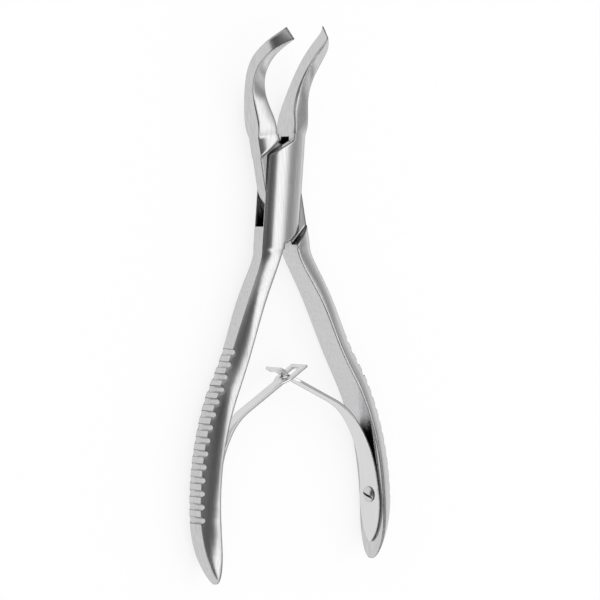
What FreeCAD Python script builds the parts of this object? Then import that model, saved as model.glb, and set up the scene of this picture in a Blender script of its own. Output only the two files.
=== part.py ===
# Bone cutting forceps: a box-lock instrument with one joint, serrated grips and a
# pair of interlocking leaf springs, lying flat and held open by its springs.
#
# Row frame: X is the way the grips open, Y runs along the instrument towards the
# jaws, Z is up from the table. The origin is on the pivot axis, level with the
# lowest edge of the grips. Each half is drawn in a frame of its own, closed, with
# the pivot at its origin and the mid-plane of the instrument at zero height, and
# is then turned open and raised. A side of -1 is the left grip, 1 the right grip.
# A heading is the angle of the grip or leaf from the Y axis, bending inwards.
import FreeCAD
import Part

import os
import re

import Sketcher
from FreeCAD import Placement, Rotation, Vector

LEFT = -1
RIGHT = 1

# Lengths are in millimetres and angles in degrees.
SIZES = [
    ("half_opening", 8.0, "turn of each half from closed"),
    ("box_width", 12.4, "box lock, across"),
    ("box_depth", 8.0, "box lock, front to back"),
    ("box_edge", 3.8, "flat side of the box lock"),
    ("box_top", 15.5, "pivot to the foot of the jaws"),
    ("box_bottom", 16.0, "pivot to the head of the grips"),
    ("shoulder_slope", 34.0, "slope of the shoulders across the box"),
    ("jaw_shoulder", 9.0, "pivot to the outer end of the box's upper edge"),
    ("grip_shoulder", 10.5, "pivot to the outer end of the box's lower edge"),
    ("grip_shoulder_nook", 1.5, "where the lower edge turns to the grip"),
    ("jaw_shoulder_gap", 0.8, "upper shoulder clearance when closed"),
    ("grip_shoulder_gap", 0.3, "lower shoulder clearance when closed"),
    ("slot_end", 10.3, "pivot to the end of the slot on the box's side"),
    ("slot_slope", 38.0, "slope of the slot's ends"),
    ("tongue_thickness", 3.2, "tongue inside the box"),
    ("tongue_gap", 0.05, "tongue to slot, each side"),
    ("tongue_turn", 1.0, "where the tongue's free side starts to slant"),
    ("tongue_corner_across", 5.0, "free corner of the tongue, from the middle"),
    ("tongue_corner_along", 9.6, "free corner of the tongue, along"),
    ("tongue_root", 14.0, "where the tongue's cut edge meets the middle"),
    ("half_gap", 0.15, "middle plane to the face of each half when closed"),
    ("pin_diameter", 4.0, "pivot pin"),
    ("pin_seat_gap", 0.01, "pin in the box, on the radius"),
    ("pin_running_gap", 0.05, "pin in the tongue, on the radius"),
    ("throat", 15.5, "where the lines of the grips' inner faces cross"),
    ("splay", 18.2, "heading of the straight shank"),
    ("bow_start", 57.0, "pivot to the start of the bow"),
    ("bow_radius", 70.0, "inner face of the bow"),
    ("tail_start_angle", 5.0, "angle below the crest where the bow turns straighter"),
    ("tail_radius", 120.0, "inner face of the straighter tail"),
    ("tail_end_angle", 15.5, "turn from the crest at the tip of the grip"),
    ("neck_along", 19.5, "pivot to the neck section"),
    ("neck_across", 1.0, "inner face at the neck section"),
    ("neck_heading", 10.0, "heading at the neck section"),
    ("neck_thickness", 5.3, "neck, inner to outer face"),
    ("neck_width", 7.5, "neck, front to back"),
    ("shank_start", 25.0, "pivot to the top of the straight shank"),
    ("shank_width", 7.9, "top of the shank, front to back"),
    ("shank_middle", 41.0, "pivot to the middle of the shank"),
    ("shank_middle_width", 9.0, "middle of the shank, front to back"),
    ("shank_thickness", 4.8, "shank, inner to outer face"),
    ("shank_back", 4.4, "outer flat of the shank, front to back"),
    ("bow_top_width", 9.9, "top of the bow, front to back"),
    ("grip_thickness", 5.0, "bow, inner to outer face"),
    ("grip_width", 10.5, "widest part of the grip, front to back"),
    ("grip_back", 4.8, "outer flat of the grip, front to back"),
    ("flank_bulge", 0.33, "rise of the rounded flanks over a straight line"),
    ("face_bevel", 0.45, "bevel along the edges of an inner face"),
    ("end_thinning", 18.5, "rounding in of the outer face at the grip's end, along"),
    ("end_nose", 0.5, "thickness left at the tip of the grip"),
    ("end_round_length", 12.4, "round end of the inner face, along"),
    ("edge_swell", 0.015, "what the smooth edges of a grip swell past its sections"),
    ("groove_start", 46.0, "pivot to the first grip groove"),
    ("groove_pitch", 3.55, "groove to groove"),
    ("groove_radius", 0.95, "round bottom of a groove"),
    ("groove_depth", 0.8, "groove below the outer flat"),
    ("shank_grooves", 4, "grooves on the straight shank"),
    ("bow_grooves", 10, "grooves on the bow"),
    ("jaw_bend_start", 22.3, "pivot to the start of the forward bend"),
    ("jaw_bend_radius", 20.0, "centre line of the forward bend"),
    ("jaw_bend", 58.0, "angle of the forward bend"),
    ("jaw_beak", 5.8, "straight beak past the bend"),
    ("jaw_root_gap", 0.7, "middle plane to the jaw at its foot"),
    ("jaw_start_across", 3.5, "middle of the jaw where the bend starts"),
    ("jaw_start_thickness", 5.2, "jaw where the bend starts, across"),
    ("jaw_start_depth", 6.1, "jaw where the bend starts, front to back"),
    ("jaw_low_across", 4.15, "middle of the jaw a third round the bend"),
    ("jaw_low_thickness", 4.2, "jaw a third round the bend, across"),
    ("jaw_low_depth", 4.4, "jaw a third round the bend, front to back"),
    ("jaw_high_across", 4.4, "middle of the jaw two thirds round"),
    ("jaw_high_thickness", 3.9, "jaw two thirds round, across"),
    ("jaw_high_depth", 4.2, "jaw two thirds round, front to back"),
    ("jaw_end_across", 3.4, "middle of the jaw where the bend ends"),
    ("jaw_end_thickness", 3.1, "jaw where the bend ends, across"),
    ("jaw_end_depth", 4.1, "jaw where the bend ends, front to back"),
    ("edge_gap", 0.05, "middle plane to the cutting edge when closed"),
    ("edge_thickness", 0.4, "land behind the cutting edge"),
    ("edge_length", 4.2, "cutting edge"),
    ("edge_bevel", 0.15, "bevel at the ends of the cutting edge"),
    ("jaw_back_narrowing", 0.6, "inner face to outer face, each side of the jaw"),
    ("jaw_tip_pitch", 53.0, "pitch of the cutting edge's end face"),
    ("jaw_bulge", 0.25, "rise of the jaw's rounded front and back"),
    ("leaf_thickness", 0.7, "leaf spring"),
    ("leaf_seat_gap", 0.05, "leaf to the grip under the screw"),
    ("leaf_low_end", 13.5, "turn from the crest where the leaf's strip ends"),
    ("leaf_lower_radius", 33.0, "inner face of the leaf's lower bend"),
    ("leaf_turn", 28.0, "heading where the two bends meet"),
    ("leaf_upper_radius", 18.0, "inner face of the leaf's upper bend"),
    ("leaf_lean", 54.3, "heading of the leaf's straight end"),
    ("leaf_width", 7.6, "leaf at its screw"),
    ("leaf_middle_width", 5.2, "leaf part of the way up its bend"),
    ("leaf_middle_along", 9.9, "screw to there, along the straight's line"),
    ("leaf_upper_width", 3.8, "leaf below the crossing"),
    ("leaf_upper_along", 23.9, "screw to the top of the taper, along that line"),
    ("leaf_foot_width", 7.2, "leaf half way from its screw to its tip"),
    ("leaf_tip_width", 2.0, "lower tip of the leaf"),
    ("leaf_tip_along", 5.4, "screw down to the tip, along that line"),
    ("leaf_tip_round", 0.3, "rounding of the tip, along that line"),
    ("hook_width", 6.3, "slotted end and cross head"),
    ("hook_reach", 5.5, "crossing to the end of each leaf"),
    ("hook_back", 1.3, "crossing to the lower end of the slot or neck"),
    ("hook_flare", 2.0, "widening or narrowing below that, along"),
    ("hook_head", 2.0, "cross head, along the leaf"),
    ("hook_slot", 3.0, "slot width"),
    ("hook_slot_end", 1.4, "metal past the slot, along the leaf"),
    ("hook_neck", 2.4, "neck through the slot"),
    ("screw_heading", 6.9, "turn from the crest at the screw"),
    ("screw_head", 4.3, "screw head diameter"),
    ("screw_rise", 1.1, "height of the domed head"),
    ("screw_rim", 0.3, "height of the head's rim"),
    ("screw_shank", 2.0, "screw shank diameter"),
    ("screw_length", 3.6, "screw below its head"),
    ("screw_hole_gap", 0.03, "shank to hole, on the radius"),
    ("screw_hole_spare", 0.3, "hole past the screw's tip"),
    ("driver_width", 0.65, "driver slot across"),
    ("driver_depth", 0.7, "driver slot deep"),
    ("driver_turn", 22.0, "angle of the driver slot"),
]
SIZE_NAMES = {name for name, _, _ in SIZES}

# A cut reaches this far past the metal it takes away.
CLEAR = 30.0


def full(text):
    """An expression with each size name pointed at the sheet."""
    return re.sub(r"[a-z_]+", lambda m: "Sizes." + m[0] if m[0] in SIZE_NAMES else m[0], str(text))


def make_sheet(doc):
    """The sheet of driving dimensions: what each is, then its number."""
    sheet = doc.addObject("Spreadsheet::Sheet", "Sizes")
    for row, (name, number, meaning) in enumerate(SIZES, start=1):
        sheet.set(f"A{row}", meaning)
        sheet.set(f"B{row}", str(number))
        sheet.setAlias(f"B{row}", name)
    doc.recompute()
    return sheet


def new_body(doc, label, side):
    """A sub-part, turned open on its own side and raised to the mid-plane."""
    body = doc.addObject("PartDesign::Body", label)
    body.Label = label
    body.Placement = Placement(Vector(), Rotation(Vector(0, 0, side), 1))
    body.setExpression("Placement.Rotation.Angle", full("half_opening"))
    body.setExpression("Placement.Base.z", full("grip_width / 2 + edge_swell"))
    return body


def attach(sketch, body, role, base=("0", "0", "0"), axis=None, angle="0"):
    """Lays a sketch on one of its body's own planes, moved and turned."""
    plane = next(f for f in body.Origin.OriginFeatures if f.Role == role)
    sketch.AttachmentSupport = [(plane, "")]
    sketch.MapMode = "FlatFace"
    if axis:
        sketch.AttachmentOffset = Placement(Vector(), Rotation(axis, 1))
        sketch.setExpression("AttachmentOffset.Rotation.Angle", full(angle))
    for letter, text in zip("xyz", base):
        sketch.setExpression("AttachmentOffset.Base." + letter, full(text))


def pin_point(sketch, name, geometry, position, point):
    """Ties a sketch point to a pair of expressions."""
    for way, text in zip("XY", point):
        number = sketch.evalExpression(full(text))
        rule = Sketcher.Constraint("Distance" + way, -1, 1, geometry, position, float(number))
        index = sketch.addConstraint(rule)
        sketch.renameConstraint(index, name + way.lower())
        sketch.setExpression("Constraints." + name + way.lower(), full(text))


def spot(sketch, point):
    """Where a pair of expressions lies now."""
    x, y = (float(sketch.evalExpression(full(text))) for text in point)
    return Vector(x, y, 0)


def draw_loop(sketch, points, prefix="p"):
    """A closed outline. Corners are pairs, and ("arc", x, y) is a point that the
    edge between its two neighbours bulges through."""
    corners = [i for i, p in enumerate(points) if p[0] != "arc"]
    first = None
    last = None
    for here, after in zip(corners, corners[1:] + corners[:1]):
        start = spot(sketch, points[here])
        end = spot(sketch, points[after])
        middle = points[(here + 1) % len(points)]
        if middle[0] == "arc":
            bulge = spot(sketch, middle[1:])
            turns_left = (bulge - start).cross(end - bulge).z > 0
            arc = Part.Arc(start, bulge, end) if turns_left else Part.Arc(end, bulge, start)
            geometry = sketch.addGeometry(arc, False)
            ends = (1, 2) if turns_left else (2, 1)
            through = sketch.addGeometry(Part.Point(bulge), True)
            pin_point(sketch, f"{prefix}m{here}", through, 1, middle[1:])
            sketch.addConstraint(Sketcher.Constraint("PointOnObject", through, 1, geometry))
        else:
            geometry = sketch.addGeometry(Part.LineSegment(start, end), False)
            ends = (1, 2)
        pin_point(sketch, f"{prefix}{here}", geometry, ends[0], points[here])
        if last:
            sketch.addConstraint(Sketcher.Constraint("Coincident", *last, geometry, ends[0]))
        first = first or (geometry, ends[0])
        last = (geometry, ends[1])
    sketch.addConstraint(Sketcher.Constraint("Coincident", *last, *first))


def loop_sketch(body, name, role, points, **place):
    """A sketch of one closed outline."""
    sketch = body.newObject("Sketcher::SketchObject", name)
    attach(sketch, body, role, **place)
    draw_loop(sketch, points)
    return sketch


def add_circle(sketch, name, centre, diameter):
    """One circle, with its middle and diameter tied to expressions."""
    middle = spot(sketch, centre)
    across = float(sketch.evalExpression(full(diameter)))
    ring = sketch.addGeometry(Part.Circle(middle, Vector(0, 0, 1), across / 2), False)
    pin_point(sketch, name, ring, 3, centre)
    index = sketch.addConstraint(Sketcher.Constraint("Diameter", ring, across))
    sketch.renameConstraint(index, name + "across")
    sketch.setExpression("Constraints." + name + "across", full(diameter))


def circle_sketch(body, name, role, centre, diameter, **place):
    """A sketch of one circle."""
    sketch = body.newObject("Sketcher::SketchObject", name)
    attach(sketch, body, role, **place)
    add_circle(sketch, "circle", centre, diameter)
    return sketch


def pad(body, name, sketch, length, both_ways=False):
    """Metal along the sketch's normal, or both ways from it."""
    feature = body.newObject("PartDesign::Pad", name)
    feature.Profile = sketch
    feature.Midplane = both_ways
    feature.setExpression("Length", full(length))
    return feature


def cut(body, name, sketch, length, both_ways=False, reverse=False):
    """A pocket against the sketch's normal, along it, or both ways from it."""
    feature = body.newObject("PartDesign::Pocket", name)
    feature.Profile = sketch
    feature.Midplane = both_ways
    feature.Reversed = reverse
    feature.setExpression("Length", full(length))
    return feature


def loft(body, name, sections):
    """Metal through a row of sections."""
    feature = body.newObject("PartDesign::AdditiveLoft", name)
    feature.Profile = sections[0]
    feature.Sections = sections[1:]
    return feature


def on_arc(centre, radius, heading):
    """The point of an arc where it has this heading, as expressions."""
    return (
        f"({centre[0]}) + ({radius}) * cos({heading})",
        f"({centre[1]}) + ({radius}) * sin({heading})",
    )


def mirrored(side, points):
    """Points of the right side, or their mirror images for the left."""
    return [(*p[:-2], f"{side} * ({p[-2]})", p[-1]) for p in points]


# The inner face of the right grip runs straight down to the bow, then round it.
BOW_TOP = ("(bow_start - throat) * tan(splay)", "-bow_start")
BOW_CENTRE = (
    "(bow_start - throat) * tan(splay) - bow_radius * cos(splay)",
    "-bow_start - bow_radius * sin(splay)",
)

# Below its crest the bow runs on as a straighter tail.
TAIL_CENTRE = on_arc(BOW_CENTRE, "bow_radius - tail_radius", "-tail_start_angle")

# The box lock's front and back are one shallow arc from side to side.
BOX_CROWN = "(box_width ^ 2 + (box_depth - box_edge) ^ 2) / (box_depth - box_edge) / 4"


def on_tail(side, radius, heading):
    """Places a sketch across the tail's radius. Its x runs up the grip, its y is Z,
    and its normal points out of the right grip or into the left one."""
    point = on_arc(TAIL_CENTRE, radius, heading)
    return {
        "base": (point[1], "0", f"{side} * ({point[0]})"),
        "axis": Vector(0, side, 0),
        "angle": heading,
    }


def box_height(across):
    """Half the depth of the box lock at a distance from its middle."""
    return f"(box_depth / 2 - {BOX_CROWN} + sqrt(({BOX_CROWN}) ^ 2 - ({across}) ^ 2))"


def box_points():
    """The whole section of the box lock."""
    side = "box_width / 2"
    edge = "box_edge / 2"
    return [
        (f"-{side}", f"-{edge}"),
        ("arc", "0", "-box_depth / 2"),
        (side, f"-{edge}"),
        (side, edge),
        ("arc", "0", "box_depth / 2"),
        (f"-{side}", edge),
    ]


def d_points(side, inner, outer, inner_half, outer_half, rise, bevel="face_bevel"):
    """A section flat on its inner and outer faces, with bevelled inner edges and
    flanks that rise to a given height half way across."""
    edge = f"({inner}) + {bevel}"
    middle = f"(({edge}) + ({outer})) / 2"
    flat = f"({inner_half}) - {bevel}"
    front = [(inner, flat), (edge, inner_half), ("arc", middle, rise), (outer, outer_half)]
    back = [
        (outer, f"-({outer_half})"),
        ("arc", middle, f"-({rise})"),
        (edge, f"-({inner_half})"),
        (inner, f"-({flat})"),
    ]
    return mirrored(side, front + back)


def grip_section(
    body, side, name, point, heading, thickness, inner_half, outer_half, rise=None, bevel="face_bevel"
):
    """One section across a grip, square to its run."""
    rise = rise or f"(({inner_half}) + ({outer_half})) / 2 + flank_bulge"
    return loop_sketch(
        body,
        name,
        "XZ_Plane",
        d_points(side, "0", thickness, inner_half, outer_half, rise, bevel),
        base=(f"{side} * ({point[0]})", "0", f"-({point[1]})"),
        axis=Vector(0, side, 0),
        angle=heading,
    )


def add_grip(body, side):
    """The neck, straight shank and bow of one grip."""
    root = (
        ("half_gap", "-box_bottom"),
        "0",
        "box_width / 2 - half_gap",
        box_height("half_gap + face_bevel"),
        "box_edge / 2",
        box_height("(box_width / 2 + half_gap + face_bevel) / 2"),
    )
    neck = ("neck_across", "-neck_along"), "neck_heading", "neck_thickness", "neck_width / 2", "box_edge / 2"
    rows = [root, neck]
    for along, width in (("shank_start", "shank_width"), ("shank_middle", "shank_middle_width")):
        point = (f"({along} - throat) * tan(splay)", f"-{along}")
        rows.append((point, "splay", "shank_thickness", f"{width} / 2", "shank_back / 2"))
    bow = BOW_CENTRE, "bow_radius"
    tail = TAIL_CENTRE, "tail_radius"
    for arc, heading, width in (
        (bow, "splay", "bow_top_width"),
        (bow, "splay / 2", "(bow_top_width + 2 * grip_width) / 3"),
        (bow, "0", "grip_width"),
        (bow, "-tail_start_angle", "grip_width"),
        (tail, up_tail("end_thinning"), "grip_width"),
    ):
        rows.append((on_arc(*arc, heading), heading, "grip_thickness", f"({width}) / 2", "grip_back / 2"))
    sections = [grip_section(body, side, f"GripSection{i}", *row) for i, row in enumerate(rows)]
    loft(body, "Grip", sections)
    return sections[-1]


def up_tail(length):
    """The heading of the tail this far up from the tip of the grip."""
    return f"-tail_end_angle + {length} / tail_radius * 180 / pi"


def add_end(body, side, top):
    """The end of a grip: its inner face ends round, its outer face comes in to a nose."""
    sections = [top]
    for i, share in enumerate(("0.83", "0.66", "0.46", "0.28", "0.14", "0.05", "0.01")):
        away = f"{share} * end_thinning"
        wide = f"sqrt(1 - max(0; 1 - {away} / end_round_length) ^ 2)"
        heading = up_tail(away)
        sections.append(
            grip_section(
                body,
                side,
                f"EndSection{i}",
                on_arc(TAIL_CENTRE, "tail_radius", heading),
                heading,
                f"end_nose + (grip_thickness - end_nose) * (1 - (1 - {share}) ^ 2)",
                f"grip_width / 2 * {wide}",
                f"grip_back / 2 * {wide}",
                f"((grip_width + grip_back) / 4 + flank_bulge) * {wide}",
                f"face_bevel * {wide}",
            )
        )
    loft(body, "GripEnd", sections)


def jaw_section(body, side, name, along, up, pitch, inner, outer, halves, rise, bevel="face_bevel"):
    """One section across a jaw, square to the line of its forward bend."""
    return loop_sketch(
        body,
        name,
        "XZ_Plane",
        d_points(side, inner, outer, *halves, rise, bevel),
        base=("0", up, f"-({along})"),
        axis=Vector(1, 0, 0),
        angle=pitch,
    )


def add_jaw(body, side):
    """One jaw: a foot as wide as the box, the forward bend and the beak."""
    root = (
        "box_top",
        "0",
        "0",
        "jaw_root_gap",
        "box_width / 2",
        (box_height("jaw_root_gap + face_bevel"), "box_edge / 2"),
        box_height("(box_width / 2 + jaw_root_gap + face_bevel) / 2"),
    )
    rows = [root]
    for part, stage in (("0", "start"), ("1 / 3", "low"), ("2 / 3", "high"), ("1", "end")):
        pitch = f"jaw_bend * {part}"
        rows.append(
            (
                f"jaw_bend_start + jaw_bend_radius * sin({pitch})",
                f"jaw_bend_radius * (1 - cos({pitch}))",
                pitch,
                f"jaw_{stage}_across - jaw_{stage}_thickness / 2",
                f"jaw_{stage}_across + jaw_{stage}_thickness / 2",
                (f"jaw_{stage}_depth / 2", f"jaw_{stage}_depth / 2 - jaw_back_narrowing"),
                f"(jaw_{stage}_depth - jaw_back_narrowing) / 2 + jaw_bulge",
            )
        )
    tip = (
        "jaw_bend_start + jaw_bend_radius * sin(jaw_bend) + jaw_beak * cos(jaw_bend)",
        "jaw_bend_radius * (1 - cos(jaw_bend)) + jaw_beak * sin(jaw_bend)",
        "jaw_tip_pitch",
        "edge_gap",
        "edge_gap + edge_thickness",
        ("edge_length / 2", "edge_length / 2 - edge_bevel"),
        "edge_length / 2 - edge_bevel / 4",
        "edge_bevel",
    )
    rows.append(tip)
    sections = [jaw_section(body, side, f"JawSection{i}", *row) for i, row in enumerate(rows)]
    return loft(body, "Jaw", sections)


def add_block(body):
    """The full box section from the foot of the jaws to the head of the grips."""
    section = loop_sketch(body, "BoxSection", "XZ_Plane", box_points(), base=("0", "0", "-box_top"))
    return pad(body, "Block", section, "box_top + box_bottom")


def trim_box_half(body):
    """Cuts the box half's two free corners back to their shoulders."""
    rise = "jaw_shoulder + box_width / 2 * tan(shoulder_slope)"
    upper = [
        ("jaw_root_gap", f"{rise} + jaw_root_gap * tan(shoulder_slope)"),
        ("jaw_root_gap", f"{CLEAR}"),
        (f"-{CLEAR}", f"{CLEAR}"),
        (f"-{CLEAR}", f"{rise} - {CLEAR} * tan(shoulder_slope)"),
    ]
    drop = "-grip_shoulder - box_width / 2 * tan(shoulder_slope)"
    nook = f"{drop} + grip_shoulder_nook * tan(shoulder_slope)"
    lower = [
        ("grip_shoulder_nook", nook),
        (f"{CLEAR}", f"{drop} + {CLEAR} * tan(shoulder_slope)"),
        (f"{CLEAR}", f"-{CLEAR}"),
        ("-half_gap", f"-{CLEAR}"),
        ("-half_gap", f"{nook} - (grip_shoulder_nook + half_gap) / 2"),
    ]
    for name, points in (("UpperCorner", upper), ("LowerCorner", lower)):
        sketch = loop_sketch(body, name + "Outline", "XY_Plane", points)
        cut(body, name, sketch, f"{2 * CLEAR}", both_ways=True)


def cut_slot(body):
    """The slot right through the box that the tongue turns in."""
    end = "slot_end + (box_width / 2 - {0}) * tan(slot_slope)"
    near = end.format(CLEAR / 3)
    far = end.format(-CLEAR / 3)
    reach = CLEAR / 3
    points = [
        (f"-{reach}", f"-({near})"),
        (f"{reach}", f"-({far})"),
        (f"{reach}", near),
        (f"-{reach}", far),
    ]
    sketch = loop_sketch(body, "SlotOutline", "XY_Plane", points)
    cut(body, "Slot", sketch, "tongue_thickness + 2 * tongue_gap", both_ways=True)


def trim_tongue_half(body):
    """Cuts the tongue half's free corners away, leaving room to turn in the slot."""
    slope = "(tongue_root - tongue_corner_along) / (tongue_corner_across + half_gap)"
    for name, sign, middle in (("LowerCorner", 1, "half_gap"), ("UpperCorner", -1, "-jaw_root_gap")):
        root = f"tongue_corner_along + (tongue_corner_across + ({sign}) * ({middle})) * {slope}"
        points = [
            ("-box_width / 2", "-tongue_turn"),
            ("-tongue_corner_across", "-tongue_corner_along"),
            (f"{sign} * ({middle})", f"-({root})"),
            (f"{sign} * ({middle})", f"-{CLEAR}"),
            (f"-{CLEAR}", f"-{CLEAR}"),
            (f"-{CLEAR}", "-tongue_turn"),
        ]
        turned = [(f"{sign} * ({x})", f"{sign} * ({y})") for x, y in points]
        sketch = loop_sketch(body, name + "Outline", "XY_Plane", turned)
        cut(body, name, sketch, f"{2 * CLEAR}", both_ways=True)


def thin_tongue(body):
    """Thins the metal between the tongue half's shoulders, front and back."""
    drop = "-grip_shoulder - grip_shoulder_gap / cos(shoulder_slope) - box_width / 2 * tan(shoulder_slope)"
    rise = "jaw_shoulder + jaw_shoulder_gap / cos(shoulder_slope) + box_width / 2 * tan(shoulder_slope)"
    reach = CLEAR / 3
    points = [
        (f"{reach}", f"{drop} + {reach} * tan(shoulder_slope)"),
        (f"{reach}", f"{rise} + {reach} * tan(shoulder_slope)"),
        (f"-{reach}", f"{rise} - {reach} * tan(shoulder_slope)"),
        (f"-{reach}", f"{drop} - {reach} * tan(shoulder_slope)"),
    ]
    for name, level, reverse in (
        ("Front", "tongue_thickness / 2", True),
        ("Back", "-tongue_thickness / 2", False),
    ):
        sketch = loop_sketch(body, name + "CheekOutline", "XY_Plane", points, base=("0", "0", level))
        cut(body, name + "Cheek", sketch, "box_depth", reverse=reverse)


def bore_pivot(body, gap):
    """The pivot hole, with a clearance on its radius."""
    sketch = circle_sketch(body, "PivotCircle", "XY_Plane", ("0", "0"), f"pin_diameter + 2 * {gap}")
    cut(body, "PivotHole", sketch, f"{CLEAR}", both_ways=True)


def cut_grooves(body, side):
    """The grooves across the outer face, down the shank and round the bow."""
    straight = circle_sketch(
        body,
        "ShankGrooveCircle",
        "XY_Plane",
        (f"{side} * (shank_thickness + groove_radius - groove_depth)", "0"),
        "2 * groove_radius",
        base=(f"{side} * (groove_start - throat) * tan(splay)", "-groove_start", "0"),
        axis=Vector(0, 0, side),
        angle="splay",
    )
    groove = cut(body, "ShankGroove", straight, f"{CLEAR}", both_ways=True)
    row = body.newObject("PartDesign::LinearPattern", "ShankGrooves")
    row.Originals = [groove]
    row.Direction = (straight, ["V_Axis"])
    row.Reversed = True
    row.setExpression("Length", full("groove_pitch * (shank_grooves - 1)"))
    row.setExpression("Occurrences", full("shank_grooves"))
    body.Tip = row

    face_radius = "(bow_radius + grip_thickness)"
    step = f"groove_pitch / {face_radius} * 180 / pi"
    past = "(groove_pitch * shank_grooves - (bow_start - groove_start) / cos(splay))"
    round_bow = circle_sketch(
        body,
        "BowGrooveCircle",
        "XY_Plane",
        (f"{side} * ({face_radius} + groove_radius - groove_depth)", "0"),
        "2 * groove_radius",
        base=(f"{side} * ({BOW_CENTRE[0]})", BOW_CENTRE[1], "0"),
        axis=Vector(0, 0, side),
        angle=f"splay - {past} / {face_radius} * 180 / pi",
    )
    groove = cut(body, "BowGroove", round_bow, f"{CLEAR}", both_ways=True)
    row = body.newObject("PartDesign::PolarPattern", "BowGrooves")
    row.Originals = [groove]
    row.Axis = (round_bow, ["N_Axis"])
    row.Reversed = side == RIGHT
    row.setExpression("Angle", full(f"{step} * (bow_grooves - 1)"))
    row.setExpression("Occurrences", full("bow_grooves"))
    body.Tip = row


def drill_screw_hole(body, side):
    """The blind hole for the spring's screw in the grip's inner face."""
    place = on_tail(side, "(tail_radius - leaf_seat_gap)", "-screw_heading")
    across = "screw_shank + 2 * screw_hole_gap"
    sketch = circle_sketch(body, "ScrewCircle", "YZ_Plane", ("0", "0"), across, **place)
    deep = "screw_length - leaf_thickness + screw_hole_spare"
    cut(body, "ScrewHole", sketch, deep, reverse=side == RIGHT)


def finish_grip(body, side, top):
    """Adds the end of a grip, cuts its grooves and drills for its spring's screw."""
    add_end(body, side, top)
    cut_grooves(body, side)
    drill_screw_hole(body, side)


# The leaf's inner face follows the grip, then two bends, then runs straight up.
SEAT_RADIUS = "(tail_radius - leaf_seat_gap - leaf_thickness)"
LOWER_CENTRE = on_arc(TAIL_CENTRE, f"{SEAT_RADIUS} - leaf_lower_radius", "-tail_start_angle")
UPPER_CENTRE = on_arc(LOWER_CENTRE, "leaf_lower_radius - leaf_upper_radius", "leaf_turn")
STRAIGHT_START = on_arc(UPPER_CENTRE, "leaf_upper_radius", "leaf_lean")

# How far up the straight the two leaves cross, over the instrument's middle.
TO_CROSSING = (
    f"((({STRAIGHT_START[0]}) * cos(half_opening) - ({STRAIGHT_START[1]}) * sin(half_opening))"
    " / sin(leaf_lean + half_opening))"
)


def up_straight(length, thickness="0"):
    """A point of the leaf's straight part, this far up it and out from its inner face."""
    return (
        f"{STRAIGHT_START[0]} - ({length}) * sin(leaf_lean) + ({thickness}) * cos(leaf_lean)",
        f"{STRAIGHT_START[1]} + ({length}) * cos(leaf_lean) + ({thickness}) * sin(leaf_lean)",
    )


def leaf_band(body, side):
    """The bent strip, seen from the front, as wide as the grip."""
    bends = [
        (TAIL_CENTRE, SEAT_RADIUS, "-leaf_low_end", "-tail_start_angle"),
        (LOWER_CENTRE, "leaf_lower_radius", "-tail_start_angle", "leaf_turn"),
        (UPPER_CENTRE, "leaf_upper_radius", "leaf_turn", "leaf_lean"),
    ]
    inner = []
    outer = []
    for centre, radius, low, high in bends:
        for face, more in ((inner, "0"), (outer, "leaf_thickness")):
            middle = on_arc(centre, f"{radius} + {more}", f"(({low}) + ({high})) / 2")
            face.append(on_arc(centre, f"{radius} + {more}", low))
            face.append(("arc", *middle))
    inner.append(STRAIGHT_START)
    outer.append(up_straight("0", "leaf_thickness"))
    end = f"{TO_CROSSING} + hook_reach"
    inner.append(up_straight(end))
    outer.append(up_straight(end, "leaf_thickness"))
    points = mirrored(side, inner + outer[::-1])
    sketch = loop_sketch(body, "BandOutline", "XY_Plane", points)
    pad(body, "Band", sketch, "grip_width", both_ways=True)


def leaf_outline(side):
    """The leaf's outline on the plane of its straight part, from the crossing up."""
    screw = on_arc(TAIL_CENTRE, SEAT_RADIUS, "-screw_heading")
    across = f"(({STRAIGHT_START[0]}) - ({screw[0]})) * sin(leaf_lean)"
    along = f"(({screw[1]}) - ({STRAIGHT_START[1]})) * cos(leaf_lean)"
    seat = f"({across} + {along} - {TO_CROSSING})"
    lower = [
        (f"{seat} - leaf_tip_along", "leaf_tip_width / 2"),
        ("arc", f"{seat} - leaf_tip_along / 2", "leaf_foot_width / 2"),
        (seat, "leaf_width / 2"),
        ("arc", f"{seat} + leaf_middle_along", "leaf_middle_width / 2"),
        (f"{seat} + leaf_upper_along", "leaf_upper_width / 2"),
        ("-hook_back - hook_flare", "leaf_upper_width / 2"),
    ]
    if side == LEFT:
        upper = [("-hook_back", "hook_width / 2"), ("hook_reach", "hook_width / 2")]
    else:
        upper = [
            ("-hook_back", "hook_neck / 2"),
            ("hook_reach - hook_head", "hook_neck / 2"),
            ("hook_reach - hook_head", "hook_width / 2"),
            ("hook_reach", "hook_width / 2"),
        ]
    edge = lower + upper
    mirror = [(*p[:-1], f"-({p[-1]})") for p in edge[::-1]]
    return edge + mirror + [("arc", f"{seat} - leaf_tip_along - leaf_tip_round", "0")]


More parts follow.
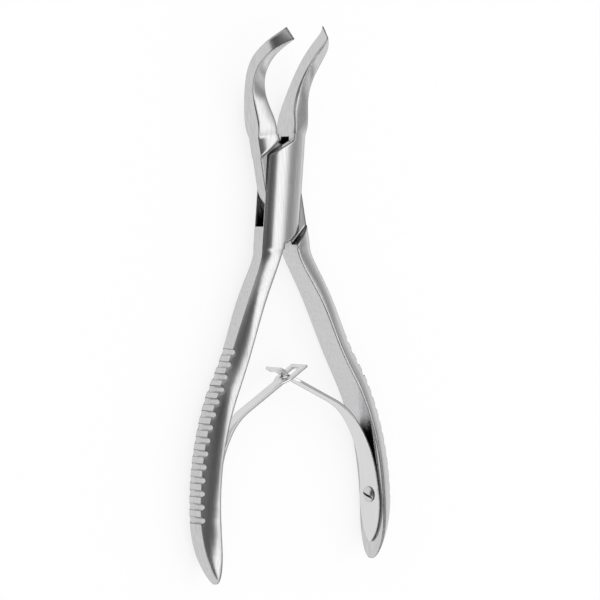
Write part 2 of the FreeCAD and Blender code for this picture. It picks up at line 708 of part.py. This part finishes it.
def leaf_spring(doc, label, side):
    """One leaf: screwed to its grip, bent across and hooked to the other leaf."""
    body = new_body(doc, label, side)
    leaf_band(body, side)
    crossing = up_straight(TO_CROSSING)
    place = {
        "base": (f"{side} * ({crossing[0]})", "0", f"-({crossing[1]})"),
        "axis": Vector(0, side, 0),
        "angle": f"{side} * 90 + leaf_lean",
    }
    sketch = loop_sketch(body, "Trim", "XZ_Plane", leaf_outline(side), **place)
    frame = [(f"{x} * {2 * CLEAR}", f"{y} * grip_width") for x, y in ((-1, -1), (1, -1), (1, 1), (-1, 1))]
    draw_loop(sketch, frame, "frame")
    cut(body, "Outline", sketch, f"{3 * CLEAR}", both_ways=True)
    if side == LEFT:
        corners = [
            ("-hook_back", "-hook_slot / 2"),
            ("hook_reach - hook_slot_end", "-hook_slot / 2"),
            ("hook_reach - hook_slot_end", "hook_slot / 2"),
            ("-hook_back", "hook_slot / 2"),
        ]
        slot = loop_sketch(body, "SlotOutline", "XZ_Plane", corners, **place)
        cut(body, "HookSlot", slot, "4 * leaf_thickness", both_ways=True)
    across = "screw_shank + 2 * screw_hole_gap"
    place = on_tail(side, SEAT_RADIUS, "-screw_heading")
    sketch = circle_sketch(body, "ScrewCircle", "YZ_Plane", ("0", "0"), across, **place)
    cut(body, "ScrewHole", sketch, "4 * leaf_thickness", both_ways=True)
    return body


def spring_screw(doc, label, side):
    """The screw that holds a leaf to its grip: shank, domed head and driver slot."""
    body = new_body(doc, label, side)
    seat = f"{SEAT_RADIUS} - leaf_seat_gap"
    point = on_arc(TAIL_CENTRE, seat, "-screw_heading")
    dome = "(screw_rise - screw_rim)"
    ball = f"((screw_head ^ 2 / 4 + {dome} ^ 2) / {dome} / 2)"
    profile = [
        ("0", "screw_head / 2"),
        ("-screw_rim", "screw_head / 2"),
        ("arc", f"{ball} - screw_rise - sqrt({ball} ^ 2 - screw_head ^ 2 / 16)", "screw_head / 4"),
        ("-screw_rise", "0"),
        ("screw_length", "0"),
        ("screw_length", "screw_shank / 2"),
        ("0", "screw_shank / 2"),
    ]
    sketch = loop_sketch(
        body,
        "Profile",
        "XY_Plane",
        mirrored(side, profile),
        base=(f"{side} * ({point[0]})", point[1], "0"),
        axis=Vector(0, 0, side),
        angle="-screw_heading",
    )
    turned = body.newObject("PartDesign::Revolution", "Turned")
    turned.Profile = sketch
    turned.ReferenceAxis = (sketch, ["H_Axis"])
    turned.Angle = 360
    reach = "screw_head"
    half = "driver_width / 2"
    corners = [
        (
            f"{x} * {half} * cos(driver_turn) - {y} * {reach} * sin(driver_turn)",
            f"{x} * {half} * sin(driver_turn) + {y} * {reach} * cos(driver_turn)",
        )
        for x, y in ((-1, -1), (1, -1), (1, 1), (-1, 1))
    ]
    place = on_tail(side, f"({seat} - screw_rise)", "-screw_heading")
    slot = loop_sketch(body, "DriverOutline", "YZ_Plane", corners, **place)
    cut(body, "DriverSlot", slot, "2 * driver_depth", both_ways=True)
    return body


def pivot_pin(doc):
    """The pin through the box lock, with its ends flush with the box's crown."""
    body = new_body(doc, "pivot_pin", LEFT)
    reach = "pin_diameter"
    low = f"-{box_height(reach)}"
    billet = [
        (f"-{reach}", low),
        ("arc", "0", "-box_depth / 2"),
        (reach, low),
        (reach, box_height(reach)),
        ("arc", "0", "box_depth / 2"),
        (f"-{reach}", box_height(reach)),
    ]
    section = loop_sketch(body, "BilletSection", "XZ_Plane", billet)
    pad(body, "Billet", section, f"2 * {reach}", both_ways=True)
    ring = circle_sketch(body, "PinCircle", "XY_Plane", ("0", "0"), "pin_diameter")
    add_circle(ring, "stock", ("0", "0"), f"4 * {reach}")
    cut(body, "Turned", ring, f"{CLEAR}", both_ways=True)
    return body


def box_half(doc):
    """Left grip, the outside of the box lock and the right jaw."""
    body = new_body(doc, "box_half", LEFT)
    add_block(body)
    foot = add_grip(body, LEFT)
    add_jaw(body, RIGHT)
    trim_box_half(body)
    cut_slot(body)
    bore_pivot(body, "pin_seat_gap")
    finish_grip(body, LEFT, foot)
    return body


def tongue_half(doc):
    """Right grip, the tongue inside the box lock and the left jaw."""
    body = new_body(doc, "tongue_half", RIGHT)
    add_block(body)
    foot = add_grip(body, RIGHT)
    add_jaw(body, LEFT)
    trim_tongue_half(body)
    thin_tongue(body)
    bore_pivot(body, "pin_running_gap")
    finish_grip(body, RIGHT, foot)
    return body


def main():
    """Builds every sub-part, tests it and writes it out."""
    doc = FreeCAD.newDocument("forceps")
    make_sheet(doc)
    bodies = [
        box_half(doc),
        tongue_half(doc),
        pivot_pin(doc),
        leaf_spring(doc, "left_spring", LEFT),
        leaf_spring(doc, "right_spring", RIGHT),
        spring_screw(doc, "left_spring_screw", LEFT),
        spring_screw(doc, "right_spring_screw", RIGHT),
    ]
    doc.recompute()
    for thing in doc.Objects:
        if "Invalid" in thing.State or "Error" in thing.State:
            raise RuntimeError(f"{thing.Name} did not recompute")
    os.makedirs("parts", exist_ok=True)
    for body in bodies:
        shape = body.Shape
        if shape.isNull() or not shape.isValid() or len(shape.Solids) != 1:
            raise RuntimeError(f"{body.Label} is not one sound solid")
        shape.exportStep(f"parts/{body.Label}.step")


main()
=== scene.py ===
# Bone cutting forceps: looks, spring leaves, light and camera.
# Lengths are in metres. X is the way the grips open, Y runs towards the jaws, Z is up.
import math

import bmesh
import bpy
from mathutils import Matrix, Vector


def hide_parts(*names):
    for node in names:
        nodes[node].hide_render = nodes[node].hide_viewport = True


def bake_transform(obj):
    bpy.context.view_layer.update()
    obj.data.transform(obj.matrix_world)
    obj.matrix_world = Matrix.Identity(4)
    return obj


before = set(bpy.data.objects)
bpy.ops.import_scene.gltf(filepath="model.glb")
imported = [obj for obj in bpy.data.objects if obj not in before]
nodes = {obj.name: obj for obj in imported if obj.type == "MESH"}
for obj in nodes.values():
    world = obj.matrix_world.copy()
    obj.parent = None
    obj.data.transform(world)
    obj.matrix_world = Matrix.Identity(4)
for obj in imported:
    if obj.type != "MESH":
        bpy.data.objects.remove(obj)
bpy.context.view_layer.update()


# Node trees
# The colour sockets of a Mix node, by their place.
FIRST_COLOUR = 6
SECOND_COLOUR = 7
MIXED_COLOUR = 2


class Tree:
    """Short calls for building a node tree."""

    def __init__(self, tree):
        self.tree = tree
        tree.nodes.clear()

    def add(self, kind, settings=(), **inputs):
        """A node with settings and inputs. An input is a number, a colour or a socket."""
        node = self.tree.nodes.new(kind)
        for name, value in dict(settings).items():
            setattr(node, name, value)
        for name, value in inputs.items():
            self.feed(node, name.replace("_", " "), value)
        return node

    def feed(self, node, key, value):
        """Sets or links one input, found by its name or its place."""
        socket = node.inputs[key]
        if isinstance(value, bpy.types.NodeSocket):
            self.tree.links.new(value, socket)
        else:
            socket.default_value = value

    def feed_all(self, node, first, values):
        """Sets or links a run of inputs from a place on, and gives back the node."""
        for place, value in enumerate(values, start=first):
            self.feed(node, place, value)
        return node

    def maths(self, operation, *values):
        """The result of a Math node."""
        node = self.add("ShaderNodeMath", {"operation": operation})
        return self.feed_all(node, 0, values).outputs[0]

    def vectors(self, operation, *values):
        """The outputs of a Vector Math node."""
        node = self.add("ShaderNodeVectorMath", {"operation": operation})
        return self.feed_all(node, 0, values).outputs

    def span(self, value, low, high, start=0.0, end=1.0, kind="LINEAR"):
        """A value carried from low and high to start and end, and held beyond them."""
        node = self.add("ShaderNodeMapRange", {"interpolation_type": kind}, Value=value)
        return self.feed_all(node, 1, (low, high, start, end)).outputs[0]

    def mix(self, blend, factor, first, second):
        """Two colours mixed or multiplied."""
        node = self.add("ShaderNodeMix", {"data_type": "RGBA", "blend_type": blend}, Factor=factor)
        self.feed(node, FIRST_COLOUR, first)
        self.feed(node, SECOND_COLOUR, second)
        return node.outputs[MIXED_COLOUR]

    def choose(self, factor, first, second):
        """The first shader where the factor is 0 and the second where it is 1."""
        node = self.add("ShaderNodeMixShader", Fac=factor)
        return self.feed_all(node, 1, (first, second)).outputs[0]

    def ramp(self, factor, stops):
        """A grey curve through (place, level) stops."""
        node = self.add("ShaderNodeValToRGB", Fac=factor)
        bands = node.color_ramp.elements
        while len(bands) < len(stops):
            bands.new(0.5)
        for band, (place, level) in zip(bands, stops):
            band.position = place
            band.color = (level, level, level, 1)
        return node.outputs["Color"]


# Steel
# Noise runs along the instrument: a stretch below 1 draws it out along Y.
PATCH_STRETCH = 0.35
PATCH_SCALE = 90.0
PATCH_RANGE = (0.3, 0.7)
PATCH_TONE = 0.96
GRAIN_STRETCH = 0.06
GRAIN_SCALE = 2600.0
GRAIN_RANGE = (0.35, 0.65)
GRAIN_SHARE = 0.5
GRAIN_HEIGHT = 0.00002
NOISE_DETAIL = 3.0

# The pin's ends and the metal close to them show no edge. An edge narrows to a share of
# its width where a face looks sideways, between these parts of X in its normal.
NO_EDGE_RADIUS = 0.0036
SIDEWAYS = (0.75, 0.95)
SIDEWAYS_EDGE = 0.25
EDGE_SAMPLES = 8

# Painted shade: a dark line is painted into the colour where an edge turns the normal, darkest at the
# first of these cosines of the turn, and gone at the second.
SHADE_LINE_TURN = (0.86, 0.975)
SHADE_LINE_LEVEL = 0.2

# Painted shade: gaps are painted dark in the colour, from ambient occlusion. How far off the metal round
# a gap counts falls from the box lock's reach to the grips' reach between these two distances from the
# pivot.
BOX_END = 0.022
GRIP_START = 0.03
BOX_REACH = 0.005
GRIP_REACH = 0.0029
GAP_SAMPLES = 6
SHUT = 0.3
GAP_SHADE_LEVEL = 0.02


def noise(t, place, stretch, scale):
    """Noise drawn out along the instrument."""
    drawn = t.add("ShaderNodeMapping", Vector=place, Scale=(1, stretch, 1)).outputs[0]
    return t.add("ShaderNodeTexNoise", Vector=drawn, Scale=scale, Detail=NOISE_DETAIL).outputs["Fac"]


def from_pin(t, place):
    """How far a point lies from the pivot's axis."""
    flat = t.vectors("MULTIPLY", place, (1, 1, 0))["Vector"]
    return t.vectors("LENGTH", flat)["Value"]


def edge_share(t, far, plain):
    """How much of its full width an edge has here."""
    past_pin = t.maths("GREATER_THAN", far, NO_EDGE_RADIUS)
    sideways = t.maths("ABSOLUTE", t.add("ShaderNodeSeparateXYZ", Vector=plain).outputs["X"])
    return t.maths("MULTIPLY", past_pin, t.span(sideways, *SIDEWAYS, 1.0, SIDEWAYS_EDGE))


def turned_normal(t, share, width):
    """The normal, turned round an edge over a share of a width."""
    radius = t.maths("MULTIPLY", share, width)
    return t.add("ShaderNodeBevel", {"samples": EDGE_SAMPLES}, Radius=radius).outputs[0]


def painted_edge_shade(t, normal, plain):
    """A level of painted shade that drops where an edge turns the normal away from the plain one."""
    same = t.vectors("DOT_PRODUCT", normal, plain)["Value"]
    return t.span(same, *SHADE_LINE_TURN, SHADE_LINE_LEVEL, 1.0)


def painted_gap_shade(t, far, open_level):
    """A level of painted shade that drops in gaps, and is full from an open level on."""
    reach = t.span(far, BOX_END, GRIP_START, BOX_REACH, GRIP_REACH)
    open_sky = t.add("ShaderNodeAmbientOcclusion", {"samples": GAP_SAMPLES}, Distance=reach).outputs["AO"]
    return t.span(open_sky, SHUT, open_level, GAP_SHADE_LEVEL, 1.0)


def steel(name, colour, roughness, spread, grain, shade_line_width, round_width, open_level=0.62):
    """Steel with a fine grain and patches of finer and coarser polish. Light rolls off its edges over a
    round width; a dark line of painted shade lies along them over a line width, and its gaps are painted
    dark."""
    material = bpy.data.materials.new(name)
    material.use_nodes = True
    t = Tree(material.node_tree)
    place = t.add("ShaderNodeTexCoord").outputs["Object"]
    patches = noise(t, place, PATCH_STRETCH, PATCH_SCALE)
    fine = noise(t, place, GRAIN_STRETCH, GRAIN_SCALE)
    rough = t.span(patches, *PATCH_RANGE, roughness - spread, roughness + spread)
    tone = t.span(patches, *PATCH_RANGE, PATCH_TONE, 1.0)
    brushed = t.span(fine, *GRAIN_RANGE, 1 - GRAIN_SHARE * grain, 1.0)

    far = from_pin(t, place)
    plain = t.add("ShaderNodeNewGeometry").outputs["Normal"]
    share = edge_share(t, far, plain)
    soft = turned_normal(t, share, round_width)
    crisp = turned_normal(t, share, shade_line_width)
    # Painted shade: the dark edge lines and the dark gaps, multiplied with the random tone and the grain
    # into the colour.
    dark = t.maths("MULTIPLY", painted_edge_shade(t, crisp, plain), painted_gap_shade(t, far, open_level))
    level = t.maths("MULTIPLY", t.maths("MULTIPLY", tone, brushed), dark)

    bump = t.add("ShaderNodeBump", Strength=grain, Distance=GRAIN_HEIGHT, Height=fine, Normal=soft)
    shader = t.add("ShaderNodeBsdfPrincipled", Roughness=rough, Normal=bump.outputs[0], Metallic=1.0)
    t.feed(shader, "Base Color", t.mix("MULTIPLY", 1.0, (*colour, 1), level))
    t.add("ShaderNodeOutputMaterial", Surface=shader.outputs[0])
    return material


GREY = (0.82, 0.82, 0.83)
PALE = (0.94, 0.94, 0.95)

satin = steel("satin_steel", GREY, 0.16, 0.03, grain=0.22, shade_line_width=0.001, round_width=0.0011)
spring_steel = steel("spring_steel", PALE, 0.18, 0.03, grain=0.06, shade_line_width=0.00012, round_width=0.0003)
# The screws count as open only near full ambient occlusion, so painted shade darkens a ring round their
# domes.
screw_steel = steel(
    "screw_steel", GREY, 0.12, 0.02, grain=0.05, shade_line_width=0.0002, round_width=0.0002, open_level=0.9
)
pin_steel = steel("pin_steel", GREY, 0.16, 0.03, grain=0.12, shade_line_width=0.00005, round_width=0.00005)

FINISH = {
    "box_half": satin,
    "tongue_half": satin,
    "pivot_pin": pin_steel,
    "left_spring": spring_steel,
    "right_spring": spring_steel,
    "left_spring_screw": screw_steel,
    "right_spring_screw": screw_steel,
}


def finish_with(obj, material):
    """Gives every slot of a piece one material."""
    if not obj.material_slots:
        obj.data.materials.append(material)
    for slot in obj.material_slots:
        slot.material = material


for node, material in FINISH.items():
    finish_with(nodes[node], material)


# Springs
# A heading, in degrees, is the angle of a grip or a leaf from the Y axis, bending inwards.
# All is drawn for the right side, with the grips closed and seen from the front, and is
# then turned to its own side: -1 is the left grip, 1 the right grip.
HALF_OPENING = 8
MID_PLANE = 0.005265
THICK = 0.0007
SEAT_GAP = 0.00005
STEP = 0.0006

# The grip's inner face: a straight shank to the bow, the bow, then a straighter tail.
THROAT = 0.0155
SPLAY = 18.2
BOW_START = 0.057
BOW_RADIUS = 0.07
TAIL_START = -5.0
TAIL_RADIUS = 0.12

# The leaf's inner face: a strip along the tail, two bends, then a straight run.
SEAT_RADIUS = TAIL_RADIUS - SEAT_GAP - THICK
LEAF_LOW_END = -13.5
SCREW_HEADING = -6.9
LOWER_RADIUS = 0.033
LEAF_TURN = 28.0
UPPER_RADIUS = 0.018
LEAN = 54.3


def way(heading):
    """The way out of an arc's middle at a heading."""
    angle = math.radians(heading)
    return Vector((math.cos(angle), math.sin(angle)))


BOW_TOP = Vector(((BOW_START - THROAT) * math.tan(math.radians(SPLAY)), -BOW_START))
BOW_MIDDLE = BOW_TOP - BOW_RADIUS * way(SPLAY)
TAIL_MIDDLE = BOW_MIDDLE + (BOW_RADIUS - TAIL_RADIUS) * way(TAIL_START)
LOWER_MIDDLE = TAIL_MIDDLE + (SEAT_RADIUS - LOWER_RADIUS) * way(TAIL_START)
UPPER_MIDDLE = LOWER_MIDDLE + (LOWER_RADIUS - UPPER_RADIUS) * way(LEAF_TURN)
ARCS = [
    (TAIL_MIDDLE, SEAT_RADIUS, LEAF_LOW_END, TAIL_START),
    (LOWER_MIDDLE, LOWER_RADIUS, TAIL_START, LEAF_TURN),
    (UPPER_MIDDLE, UPPER_RADIUS, LEAF_TURN, LEAN),
]
SCREW = TAIL_MIDDLE + SEAT_RADIUS * way(SCREW_HEADING)
RUN_START = UPPER_MIDDLE + UPPER_RADIUS * way(LEAN)
RUN = way(LEAN + 90)

# The leaves cross over the instrument's middle once the grips are open.
TO_CROSSING = RUN_START.dot(way(-HALF_OPENING)) / math.sin(math.radians(LEAN + HALF_OPENING))
CROSSING = RUN_START + TO_CROSSING * RUN

# Places along the straight's line, measured from where the leaves cross, and the half
# widths there.
SEAT = (SCREW - CROSSING).dot(RUN)
TIP_SHOULDER = SEAT - 0.0054
TIP = SEAT - 0.0057
FOOT_MIDDLE = SEAT - 0.0027
TAPER_MIDDLE = SEAT + 0.0099
TAPER_END = SEAT + 0.0239
NECK_FLARE = -0.0033
NECK_START = -0.0013
HEAD_START = 0.0035
SLOT_END = 0.0041
LEAF_END = 0.0055
TIP_HALF = 0.001
FOOT_HALF = 0.0036
SEAT_HALF = 0.0038
TAPER_HALF = 0.0026
BAR_HALF = 0.0019
HOOK_HALF = 0.00315
NECK_HALF = 0.0012
SLOT_HALF = 0.0015
SCREW_HOLE = 0.00103

# The sheet has rows of its own in the round tip, and no two rows closer than a gap.
TIP_ROWS = (0.00004, 0.00014)
ROW_GAP = 0.0001
TOUCHING = 1e-6
ROUNDING = 1e-9

DRILL_LENGTH = 0.006
DRILL_SIDES = 32
EDGE_ROUND = 0.0001
EDGE_ANGLE = math.radians(40)
SMOOTH_ANGLE = math.radians(35)


def leaf_path():
    """Points up the leaf's inner face."""
    points = []
    for middle, radius, low, high in ARCS:
        count = math.ceil(radius * math.radians(high - low) / STEP)
        points += [middle + radius * way(low + (high - low) * i / count) for i in range(count)]
    end = (CROSSING - RUN_START).length + LEAF_END
    count = math.ceil(end / STEP)
    return points + [RUN_START + RUN * end * i / count for i in range(count + 1)]


def at_place(path, place):
    """The path's point that lies at a place along the straight's line."""
    for a, b in zip(path, path[1:]):
        low = (a - CROSSING).dot(RUN)
        high = (b - CROSSING).dot(RUN)
        if low <= place <= high + ROUNDING:
            return a.lerp(b, (place - low) / (high - low))
    return path[-1]


def arc_through(a, b, c):
    """The height of the arc through three points, as a function of its place."""
    turn = 2 * (a[0] * (b[1] - c[1]) + b[0] * (c[1] - a[1]) + c[0] * (a[1] - b[1]))
    sizes = [p[0] ** 2 + p[1] ** 2 for p in (a, b, c)]
    x = (sizes[0] * (b[1] - c[1]) + sizes[1] * (c[1] - a[1]) + sizes[2] * (a[1] - b[1])) / turn
    y = (sizes[0] * (c[0] - b[0]) + sizes[1] * (a[0] - c[0]) + sizes[2] * (b[0] - a[0])) / turn
    radius = math.hypot(a[0] - x, a[1] - y)
    side = 1 if b[1] > y else -1
    return lambda place: y + side * math.sqrt(max(0, radius**2 - (place - x) ** 2))


foot = arc_through((TIP_SHOULDER, TIP_HALF), (FOOT_MIDDLE, FOOT_HALF), (SEAT, SEAT_HALF))
taper = arc_through((SEAT, SEAT_HALF), (TAPER_MIDDLE, TAPER_HALF), (TAPER_END, BAR_HALF))


def half_width(place, hook_half):
    """Half the leaf's width at a place. The hook's own half width is given."""
    if place < TIP_SHOULDER:
        return TIP_HALF * math.sqrt(max(0, (place - TIP) / (TIP_SHOULDER - TIP)))
    if place < SEAT:
        return foot(place)
    if place < TAPER_END:
        return taper(place)
    share = min(max((place - NECK_FLARE) / (NECK_START - NECK_FLARE), 0), 1)
    return BAR_HALF + (hook_half - BAR_HALF) * share


def row_places(path, inner_end):
    """The places of the sheet's rows, from the tip to the end of the hook."""
    breaks = [TIP + up for up in (0, *TIP_ROWS)]
    breaks += [TIP_SHOULDER, NECK_FLARE, NECK_START, inner_end, LEAF_END]
    places = [(point - CROSSING).dot(RUN) for point in path]
    free = [p for p in places if p > TIP and all(abs(p - b) > ROW_GAP for b in breaks)]
    return sorted(breaks + free)


def leaf_sheet(side):
    """The leaf's inner face as a sheet, with its slot or its neck and cross head."""
    slotted = side < 0
    end_half = HOOK_HALF if slotted else NECK_HALF
    core = SLOT_HALF if slotted else NECK_HALF
    path = leaf_path()
    mesh = bmesh.new()
    rows = []
    for place in row_places(path, SLOT_END if slotted else HEAD_START):
        half = half_width(place, end_half)
        if not slotted and place > HEAD_START - TOUCHING:
            half = HOOK_HALF
        inner = core if place > NECK_START - TOUCHING else half / 3
        point = at_place(path, place)
        rows.append((place, [mesh.verts.new((*point, w)) for w in (-half, -inner, inner, half)]))
    for (low, here), (high, after) in zip(rows, rows[1:]):
        middle = (low + high) / 2
        for i in range(3):
            in_slot = slotted and i == 1 and NECK_START < middle < SLOT_END
            by_neck = not slotted and i != 1 and NECK_START < middle < HEAD_START
            if not in_slot and not by_neck:
                mesh.faces.new((here[i], here[i + 1], after[i + 1], after[i]))
    bmesh.ops.remove_doubles(mesh, verts=mesh.verts, dist=TOUCHING)
    bmesh.ops.recalc_face_normals(mesh, faces=mesh.faces)
    if mesh.faces[0].normal.x < 0:
        bmesh.ops.reverse_faces(mesh, faces=mesh.faces)
    return mesh


def screw_drill():
    """A rod through the leaf where its screw goes."""
    bpy.ops.mesh.primitive_cylinder_add(vertices=DRILL_SIDES, radius=SCREW_HOLE, depth=DRILL_LENGTH)
    rod = bpy.context.object
    turn = Vector((0, 0, 1)).rotation_difference(Vector((*way(SCREW_HEADING), 0)))
    rod.matrix_world = Matrix.Translation((*SCREW, 0)) @ turn.to_matrix().to_4x4()
    return rod


def solid_leaf(node, side):
    """The right leaf's mesh with its own or the left leaf's hook, made solid, drilled for
    its screw and rounded at its edges."""
    data = bpy.data.meshes.new(node + "_sheet")
    mesh = leaf_sheet(side)
    mesh.to_mesh(data)
    mesh.free()
    sheet = bpy.data.objects.new(node + "_sheet", data)
    bpy.context.scene.collection.objects.link(sheet)
    solid = sheet.modifiers.new("thickness", "SOLIDIFY")
    solid.thickness = THICK
    solid.offset = 1
    rod = screw_drill()
    hole = sheet.modifiers.new("hole", "BOOLEAN")
    hole.operation = "DIFFERENCE"
    hole.solver = "EXACT"
    hole.object = rod
    edge = sheet.modifiers.new("edge", "BEVEL")
    edge.width = EDGE_ROUND
    edge.segments = 2
    edge.limit_method = "ANGLE"
    edge.angle_limit = EDGE_ANGLE
    bpy.context.view_layer.update()
    whole = bpy.data.meshes.new_from_object(sheet.evaluated_get(bpy.context.evaluated_depsgraph_get()))
    bpy.data.objects.remove(sheet)
    bpy.data.objects.remove(rod)
    return whole


def spring_leaf(node, side):
    """One leaf, turned open on its own side."""
    whole = solid_leaf(node, side)
    flip = Matrix.Diagonal((side, 1, 1, 1))
    open_turn = Matrix.Rotation(math.radians(side * HALF_OPENING), 4, "Z")
    whole.transform(Matrix.Translation((0, 0, MID_PLANE)) @ open_turn @ flip)
    if side < 0:
        whole.flip_normals()
    whole.shade_smooth()
    whole.set_sharp_from_angle(angle=SMOOTH_ANGLE)
    leaf = bpy.data.objects.new(node + "_leaf", whole)
    bpy.context.scene.collection.objects.link(leaf)
    finish_with(leaf, spring_steel)
    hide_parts(node)
    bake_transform(leaf)


spring_leaf("left_spring", -1)
spring_leaf("right_spring", 1)


# Floor and world
WHITE = (1, 1, 1, 1)
FLOOR_RADIUS = 4
FLOOR_COLOUR = (0.9, 0.9, 0.9, 1)
FLOOR_WHITE = 0.82
FLOOR_IN_METAL = 0.74

# What metal sees round it in the plane across the instrument: the angle from straight up
# towards +X, in degrees, and the level of light there.
AROUND = [
    # from below up to the left
    (-180, 0.45), (-100, 0.5), (-90, 0.17), (-78, 0.06),
    # the dark left side
    (-58, 0.13), (-38, 0.13), (-20, 0.06), (-12, 0.09), (-7, 0.17),
    # the white light overhead
    (-2, 0.85), (6, 0.98), (17, 0.96), (26, 0.82), (33, 0.62),
    # the grey right side
    (39, 0.43), (46, 0.3), (57, 0.26), (68, 0.28), (78, 0.38), (90, 0.44),
    # down to below
    (104, 0.55), (122, 0.28), (144, 0.75), (180, 0.45),
]
METAL_LIGHT = 1.25
OTHER_LIGHT = 1.1

# The light overhead lies at a slant: it is turned this far, in radians, at the grips' end.
SLANT = 1.22

# Towards the jaws' end the studio fades to one grey, between these parts of Y.
JAW_END = (0.35, 0.75)
JAW_END_GREY = (0.36, 0.36, 0.36, 1)


def light_path(t):
    """The outputs that tell what kind of ray is looking."""
    return t.add("ShaderNodeLightPath").outputs


def pale_floor():
    """A wide pale floor that shows white to the camera and keeps a soft shadow."""
    bpy.ops.mesh.primitive_circle_add(vertices=96, radius=FLOOR_RADIUS, fill_type="NGON")
    floor = bpy.context.object
    floor.name = "floor"
    material = bpy.data.materials.new("floor")
    material.use_nodes = True
    t = Tree(material.node_tree)
    ray = light_path(t)
    lit = t.add("ShaderNodeBsdfDiffuse", Color=FLOOR_COLOUR).outputs[0]
    white = t.add("ShaderNodeEmission", Color=WHITE, Strength=1.0).outputs[0]
    in_metal = t.add("ShaderNodeEmission", Color=WHITE, Strength=FLOOR_IN_METAL).outputs[0]
    seen = t.choose(FLOOR_WHITE, lit, white)
    by_camera = t.choose(ray["Is Camera Ray"], lit, seen)
    t.add("ShaderNodeOutputMaterial", Surface=t.choose(ray["Is Glossy Ray"], by_camera, in_metal))
    finish_with(floor, material)


def studio():
    """White all round for the camera and plain soft light for the floor. Metal sees a
    studio: dark at -X, a slanting white light overhead and grey at +X."""
    world = bpy.data.worlds.new("studio")
    bpy.context.scene.world = world
    world.use_nodes = True
    t = Tree(world.node_tree)
    seen_way = t.add("ShaderNodeTexCoord").outputs["Generated"]
    parts = t.add("ShaderNodeSeparateXYZ", Vector=seen_way).outputs
    slant = t.span(parts["Y"], -1.0, 0.0, SLANT, 0.0)
    angle = t.maths("ADD", t.maths("ARCTAN2", parts["X"], parts["Z"]), slant)
    turn = t.maths("MULTIPLY_ADD", angle, 0.5 / math.pi, 0.5)
    across = t.ramp(turn, [(degrees / 360 + 0.5, level) for degrees, level in AROUND])
    past_jaws = t.span(parts["Y"], *JAW_END, kind="SMOOTHSTEP")
    around = t.mix("MIX", past_jaws, across, JAW_END_GREY)
    ray = light_path(t)
    metal = t.add("ShaderNodeBackground", Color=around, Strength=METAL_LIGHT).outputs[0]
    white = t.add("ShaderNodeBackground", Color=WHITE, Strength=1.0).outputs[0]
    other = t.add("ShaderNodeBackground", Color=WHITE, Strength=OTHER_LIGHT).outputs[0]
    by_metal = t.choose(ray["Is Glossy Ray"], other, metal)
    t.add("ShaderNodeOutputWorld", Surface=t.choose(ray["Is Camera Ray"], by_metal, white))


pale_floor()
studio()


# Camera
CAMERA_PLACE = Vector((-0.56852, 0.030886, 0.682821))
CAMERA_TARGET = Vector((0.005699, -0.030157, 0.005285))
CAMERA_ROLL = math.radians(2.2837)
CAMERA_LENS = 196.704


def aim_camera():
    """The photograph's view, with the instrument upright and its foot tilted right."""
    data = bpy.data.cameras.new("camera")
    data.sensor_width = 36
    data.lens = CAMERA_LENS
    data.clip_start = 0.05
    data.clip_end = 20
    camera = bpy.data.objects.new("camera", data)
    bpy.context.scene.collection.objects.link(camera)
    forward = (CAMERA_TARGET - CAMERA_PLACE).normalized()
    right = forward.cross(Vector((0, 1, 0))).normalized()
    up = right.cross(forward)
    turn = Matrix((right, up, -forward)).transposed()
    roll = Matrix.Rotation(-CAMERA_ROLL, 3, "Z")
    camera.matrix_world = Matrix.Translation(CAMERA_PLACE) @ (turn @ roll).to_4x4()
    bpy.context.scene.camera = camera


aim_camera()
bpy.context.scene.view_settings.view_transform = "Standard"
